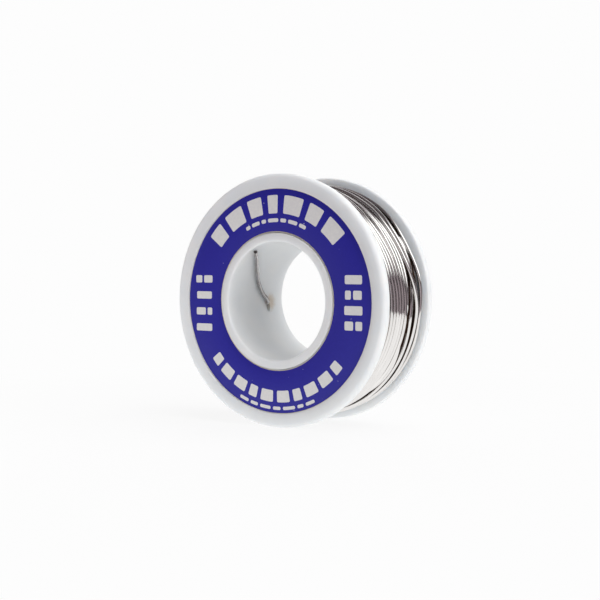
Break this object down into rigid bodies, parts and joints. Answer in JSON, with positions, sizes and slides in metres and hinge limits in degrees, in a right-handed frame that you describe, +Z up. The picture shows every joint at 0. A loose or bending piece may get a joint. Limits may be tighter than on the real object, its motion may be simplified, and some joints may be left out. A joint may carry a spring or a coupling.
{
  "type": "solder wire spool",
  "caption": "Plastic reel with two round flanges on a bored barrel, a ring label and a full winding of solder wire, whose start comes out through the barrel wall.",
  "frame": {"origin": "on the bore's axis, halfway between the outer faces of the two flanges", "axes": "+Y along the bore, out of the rear face; the labelled face looks along -Y; +Z up, with the spool standing on its two rims"},
  "size_m": [0.05, 0.0188, 0.05],
  "materials": {
    "reel_plastic": "translucent white moulded polypropylene, satin",
    "label_paper": "violet-blue printed paper with a light satin coat, white print blocks",
    "solder": "bright drawn tin-lead wire, slightly dulled",
    "flux": "dark brown rosin, glassy"
  },
  "bodies": {
    "root": {"barrel": "reel_plastic", "front_flange": "reel_plastic", "rear_flange": "reel_plastic", "front_label": "label_paper", "solder_inner_layers": "solder", "solder_outer_layer": "solder", "solder_start_tail": "solder", "flux_core": "flux"}
  },
  "joints": []
}
